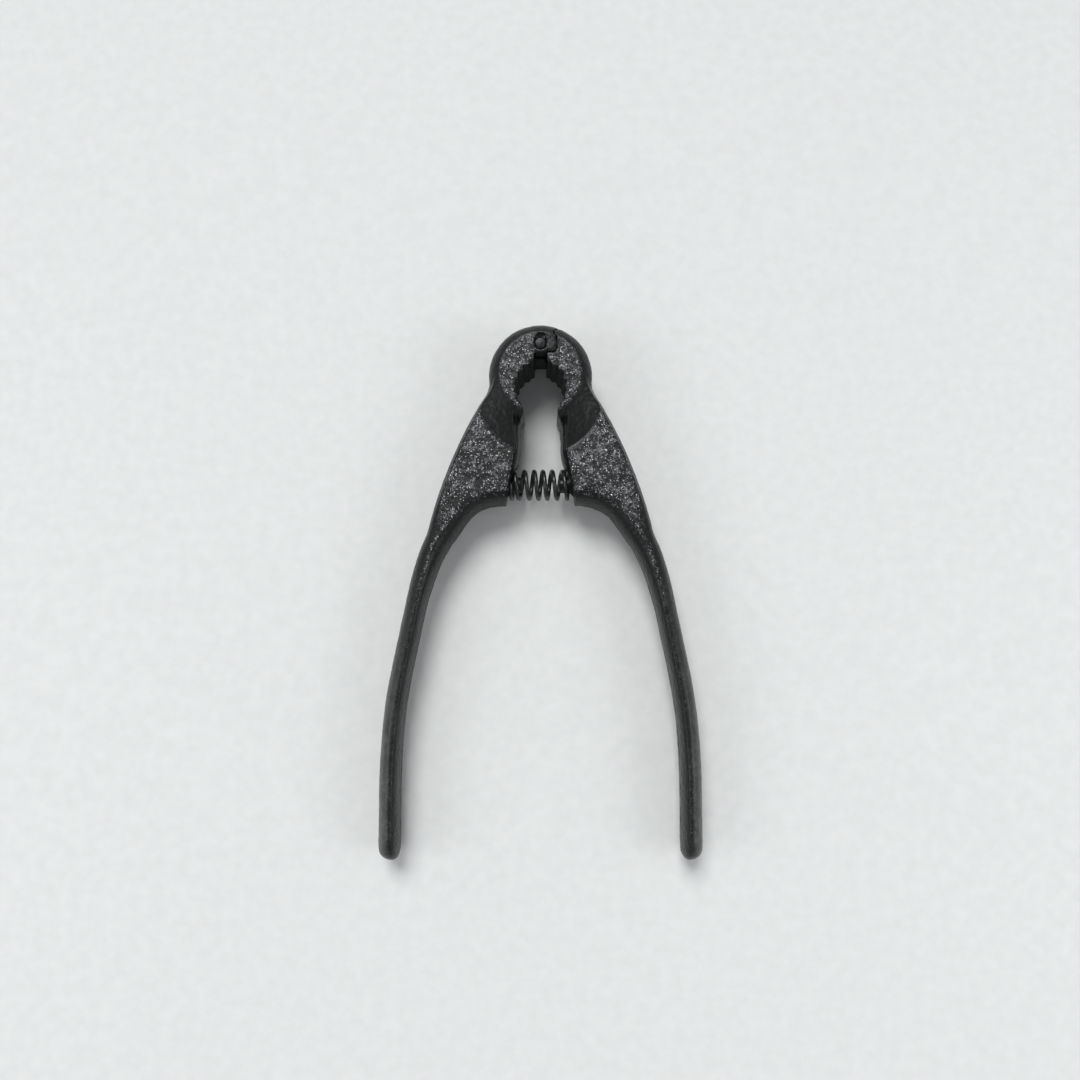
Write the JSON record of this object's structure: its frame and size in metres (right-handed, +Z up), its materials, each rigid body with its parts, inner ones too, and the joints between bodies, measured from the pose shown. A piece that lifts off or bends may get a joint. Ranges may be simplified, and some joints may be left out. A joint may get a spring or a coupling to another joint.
{
  "type": "nutcracker",
  "caption": "Hand-held cast nutcracker: a toothed ring jaw hinged at the head, curved handles and a return spring that opens it.",
  "frame": {"origin": "middle of the outline of the tool lying flat, on the plane of the ring's lower face", "axes": "+X to the right lever, +Y towards the hinge and ring, +Z up along the hinge axis, away from the surface it lies on"},
  "size_m": [0.0898, 0.15, 0.019],
  "materials": {
    "lever_coating": "glossy black hammered paint with silver grey speckle over a rough casting",
    "pin_steel": "plain turned steel, slightly oiled",
    "spring_wire": "blackened spring wire"
  },
  "bodies": {
    "left_lever": {"left_lever": "lever_coating", "hinge_pin": "pin_steel", "return_spring": "spring_wire"},
    "right_lever": {"right_lever": "lever_coating"}
  },
  "joints": [
    {"name": "jaw_hinge", "type": "hinge", "parent": "left_lever", "child": "right_lever", "pos_m": [0, 0.06885, 0.0095], "axis": [0, 0, -1], "range_deg": [0, 14], "stiffness_Nm_per_rad": 7.4, "springref_deg": -3.15, "deforming": ["return_spring"]}
  ]
}
